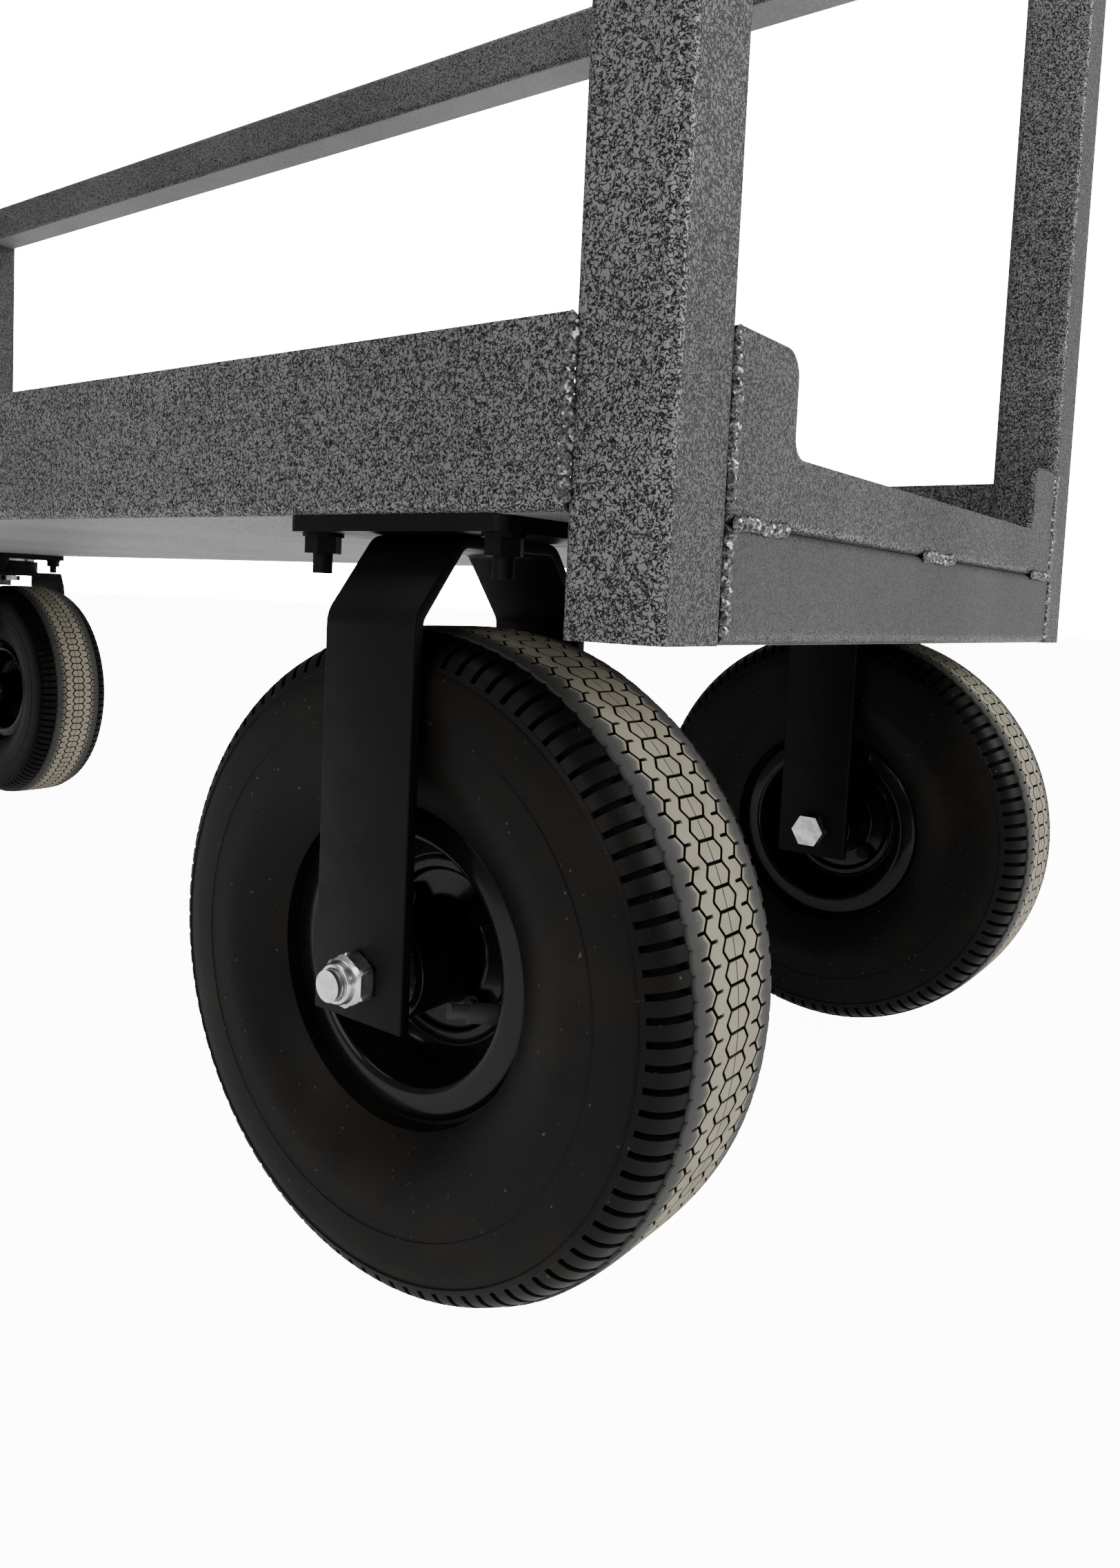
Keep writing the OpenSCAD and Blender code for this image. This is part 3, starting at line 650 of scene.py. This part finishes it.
def lockNutPoints(flats, length, outward, centre):
    hexTop = length * 0.64
    collar = flats / 2 - 1.4
    rings = [(0.0, 6.15, 0), (0.0, flats / 2 - 0.4, 0), (0.7, flats / 2 + 0.9, 1), (1.2, 99, 1),
             (hexTop - 1.6, 99, 1), (hexTop - 0.7, flats / 2 + 0.7, 1), (hexTop, flats / 2 - 0.4, 0),
             (hexTop + 0.4, collar + 0.3, 0), (hexTop + 0.9, collar, 0), (length - 1.6, collar - 0.1, 0),
             (length - 0.6, collar - 0.6, 0), (length, collar - 1.7, 0), (length, 7.2, 0),
             (length - 0.7, 6.15, 0)]
    points = []
    for turn in range(lockNut["around"]):
        angle = 2 * math.pi * turn / lockNut["around"]
        for height, limit, hexagonal in rings:
            out = min(limit, hexRadius(flats, angle)) if hexagonal else limit
            points.append(centre + Vector((out * math.cos(angle), outward * (height - length / 2),
                                           out * math.sin(angle))) * millimetre)
    faces = gridFaces(lockNut["around"], len(rings), True, True)
    return points, faces if outward > 0 else [tuple(reversed(face)) for face in faces]


def makeLockNuts(name, node, body, outwards):
    oneLow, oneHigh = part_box("axle_nut_front_left")
    flats = (oneHigh.x - oneLow.x) / millimetre * math.cos(math.pi / 6)
    length = (oneHigh.y - oneLow.y) / millimetre
    low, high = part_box(node)
    points, faces = [], []
    for outward in outwards:
        y = high.y - length / 2 * millimetre if outward > 0 else low.y + length / 2 * millimetre
        centre = Vector(((low.x + high.x) / 2, y, (low.z + high.z) / 2))
        morePoints, moreFaces = lockNutPoints(flats, length, outward, centre)
        faces += [tuple(k + len(points) for k in face) for face in moreFaces]
        points += morePoints
    piece = meshObject(name, points, faces, zinc, 30)
    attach(piece, body)
    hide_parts(node)


makeLockNuts("lockNuts_rear", "axle_nuts_rear", "cart", (1, -1))
makeLockNuts("lockNut_front_left", "axle_nut_front_left", "swivel_left", (1,))
makeLockNuts("lockNut_front_right", "axle_nut_front_right", "swivel_right", (-1,))
print("axle nuts made")


# Rear forks: one flat bar each, bent over the wheel with round bends

forkBar = {
    "bend": 3.6,  # how far each bend runs into the flats
    "thick": 5.0,
    "corner": 0.7,  # rounding of the bar's own edges
    "shoulder": 29.5,
    "topHalf": 28.0,
}


def barOutline(width, thick, corner):
    # the bar's section, anticlockwise: (along the cart, out of the bend)
    points = []
    for cx, cy, start in ((1, 1, 0), (-1, 1, 90), (-1, -1, 180), (1, -1, 270)):
        for step in range(4):
            angle = math.radians(start + step * 30)
            points.append((cx * (width / 2 - corner) + corner * math.cos(angle),
                           cy * (thick / 2 - corner) + corner * math.sin(angle)))
    return points


def makeForkBar(side):
    name = "left" if side > 0 else "right"
    low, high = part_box("fork_rear_" + name)
    axle = wheelCentre("rear_" + name)
    width = (high.x - low.x) / millimetre
    thick = forkBar["thick"]
    halfGap = (high.y - low.y) / 2 / millimetre - thick / 2
    top = (high.z - axle.z) / millimetre - thick / 2
    foot = (low.z - axle.z) / millimetre
    bendZ = top - forkBar["shoulder"]
    corners = [(halfGap, foot), (halfGap, bendZ), (forkBar["topHalf"], top), (-forkBar["topHalf"], top),
               (-halfGap, bendZ), (-halfGap, foot)]
    path = [Vector(p) for p in softOutline(corners, forkBar["bend"], 8)]
    section = barOutline(width, thick, forkBar["corner"])
    points = []
    for k, spot in enumerate(path):
        before, after = path[max(k - 1, 0)], path[min(k + 1, len(path) - 1)]
        along = (after - before).normalized()
        out = Vector((along.y, -along.x))
        for sx, sn in section:
            across = spot + out * sn
            points.append((axle.x + sx * millimetre, axle.y + across.x * millimetre,
                           axle.z + across.y * millimetre))
    count = len(section)
    faces = gridFaces(len(path), count, False, True)
    faces += [tuple(reversed(range(count))), tuple((len(path) - 1) * count + k for k in range(count))]
    piece = meshObject("forkBar_rear_" + name, points, faces, blackSteel, 40)
    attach(piece, "cart")
    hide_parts("fork_rear_" + name)


makeForkBar(1)
makeForkBar(-1)
print("rear forks made")


# Welds: a row of overlapping drops along each joint

weldRow = {
    "pitch": 4.4,
    "half": 3.1,
    "height": 2.4,
    "sunk": 0.25,
    "stitch": 44.0,  # from a post's inner face to the stitch's far end
    "middleStitch": 22.0,  # half its length
    "arc": 9,
    "perDrop": 7,
}


def weldBead(spec, start, end, out):
    # points and faces of one bead from start to end, standing out along the given direction
    start, end, out = Vector(start), Vector(end), Vector(out).normalized()
    run = end - start
    length = run.length / millimetre
    run.normalize()
    across = run.cross(out)
    drops = max(1, round(length / spec["pitch"]))
    rows = drops * spec["perDrop"] + 1
    points = []
    seed = round((start.x + 2 * start.y + 3 * start.z) * 1000)
    for row in range(rows):
        drop, within = divmod(row, spec["perDrop"])
        t = within / spec["perDrop"]
        if row == rows - 1:
            t, drop = 1.0, drops - 1
        swell = 0.6 + 0.4 * math.sin(math.pi * min(1, t * 1.15)) ** 0.7
        jitter = math.sin(drop * 12.9 + seed) * 0.5
        sway = math.sin(drop * 7.3 + seed * 0.7) * 0.45
        tip = min(1.0, 0.35 + row / 4, 0.35 + (rows - 1 - row) / 4)
        for k in range(spec["arc"]):
            angle = math.pi * k / (spec["arc"] - 1)
            wide = math.cos(angle) * spec["half"] * (0.5 + 0.5 * swell + 0.08 * jitter) * tip
            high = math.sin(angle) * spec["height"] * (swell + 0.12 * jitter) * tip
            lag = (math.sin(angle) - 0.5) * 1.1
            spot = start + run * ((drop + t) * length / drops + lag * tip) * millimetre
            lift = high - spec["sunk"]
            points.append(spot + across * (wide + sway) * millimetre + out * lift * millimetre)
    arc = spec["arc"]
    faces = gridFaces(rows, arc, False, True)
    faces += [tuple(range(arc)), tuple((rows - 1) * arc + k for k in reversed(range(arc)))]
    return points, faces


def frameWeldRuns(spec):
    trayLow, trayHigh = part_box("tray")
    postLow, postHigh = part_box("post_rear_left")
    tubeLow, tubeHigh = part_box("rear_tube")
    railLow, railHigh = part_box("top_rail_left")
    rearX, frontX = trayLow.x, trayHigh.x
    sideY = trayHigh.y
    post = postHigh.x - postLow.x
    inset = 3 * millimetre
    runs = []
    for side in (1, -1):
        for x in (rearX + post, frontX - post):
            y = side * sideY
            runs.append(((x, y, trayLow.z + inset), (x, y, trayHigh.z), (0, side, 0)))
            runs.append(((x, y, railLow.z + inset), (x, y, railHigh.z - inset), (0, side, 0)))
        for x, facing in ((rearX, -1), (frontX, 1)):
            y = side * (sideY - post)
            runs.append(((x, y, trayLow.z + inset), (x, y, trayHigh.z), (facing, 0, 0)))
            runs.append(((x, y, tubeLow.z + inset), (x, y, tubeHigh.z - inset), (facing, 0, 0)))
            stitchIn = y - side * spec["stitch"] * millimetre
            runs.append(((x, y - side * inset, trayLow.z), (x, stitchIn, trayLow.z), (facing, 0, 0)))
        runs.append(((frontX, side * (sideY - post), railLow.z + inset),
                     (frontX, side * (sideY - post), railHigh.z - inset), (1, 0, 0)))
    middle = spec["middleStitch"] * millimetre
    runs.append(((rearX, middle, trayLow.z), (rearX, -middle, trayLow.z), (-1, 0, 0)))
    return runs


def makeWelds(spec):
    points, faces = [], []
    for start, end, out in frameWeldRuns(spec):
        morePoints, moreFaces = weldBead(spec, start, end, out)
        faces += [tuple(k + len(points) for k in face) for face in moreFaces]
        points += morePoints
    piece = meshObject("weldBeads", points, faces, weldGreyWithGlints, 50)
    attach(piece, "cart")
    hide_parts("frame_welds")
    print("welds made")


makeWelds(weldRow)


# Floor and light

studio = {
    "floorTone": 0.95,
    "floorGlow": 0.5,
    "floorSeen": 12.0,
    "worldTone": 1.0,
    "worldStrength": 0.36,  # what lights the cart
    "backdrop": 18.0,  # what is seen behind it
    "lamps": (  # name, place, target, size, power
        ("keyRear", (-2.95, -0.8, 1.3), (-1.05, 0.1, 0.25), 1.4, 62),
        ("fillSide", (-1.15, 2.8, 1.5), (-0.95, 0.25, 0.3), 2.0, 40),
        ("top", (-0.05, 0.2, 3.4), (-0.05, 0, 0.3), 2.6, 80),
    ),
}


def makeFloor(spec):
    points = [(24 * math.cos(a), 24 * math.sin(a), -0.0005) for a in np.linspace(0, 2 * math.pi, 97)[:-1]]
    mesh = bpy.data.meshes.new("floor")
    mesh.from_pydata(points, [], [tuple(range(len(points)))])
    material, tree, shader = newMaterial("floorPaper")
    spot = noiseNode(tree, tree.nodes.new("ShaderNodeTexCoord").outputs["Object"], 3, detail=2)
    colour = mixColour(tree, spot, grey(spec["floorTone"]), grey(spec["floorTone"] * 1.02))
    tree.links.new(colour, shader.inputs["Base Color"])
    shader.inputs["Roughness"].default_value = 0.9
    shader.inputs["Emission Color"].default_value = grey(1.0)
    glow = spread(tree, tree.nodes.new("ShaderNodeLightPath").outputs["Is Camera Ray"], 0, 1,
                  spec["floorGlow"], spec["floorSeen"])
    tree.links.new(glow, shader.inputs["Emission Strength"])
    mesh.materials.append(material)
    floor = bpy.data.objects.new("floor", mesh)
    scene.collection.objects.link(floor)


def softLight(name, place, target, size, power):
    data = bpy.data.lights.new(name, "AREA")
    data.shape = "DISK"
    data.size = size
    data.energy = power
    lamp = bpy.data.objects.new(name, data)
    direction = Vector(target) - Vector(place)
    lamp.matrix_world = Matrix.Translation(place) @ direction.to_track_quat("-Z", "Y").to_matrix().to_4x4()
    scene.collection.objects.link(lamp)


def makeStudio(spec):
    makeFloor(spec)
    world = bpy.data.worlds.new("studio")
    world.use_nodes = True
    tree = world.node_tree
    background = tree.nodes["Background"]
    background.inputs[0].default_value = grey(spec["worldTone"])
    seen = spread(tree, tree.nodes.new("ShaderNodeLightPath").outputs["Is Camera Ray"], 0, 1,
                  spec["worldStrength"], spec["backdrop"])
    tree.links.new(seen, background.inputs[1])
    scene.world = world
    for lamp in spec["lamps"]:
        softLight(*lamp)
    print("studio made")


makeStudio(studio)
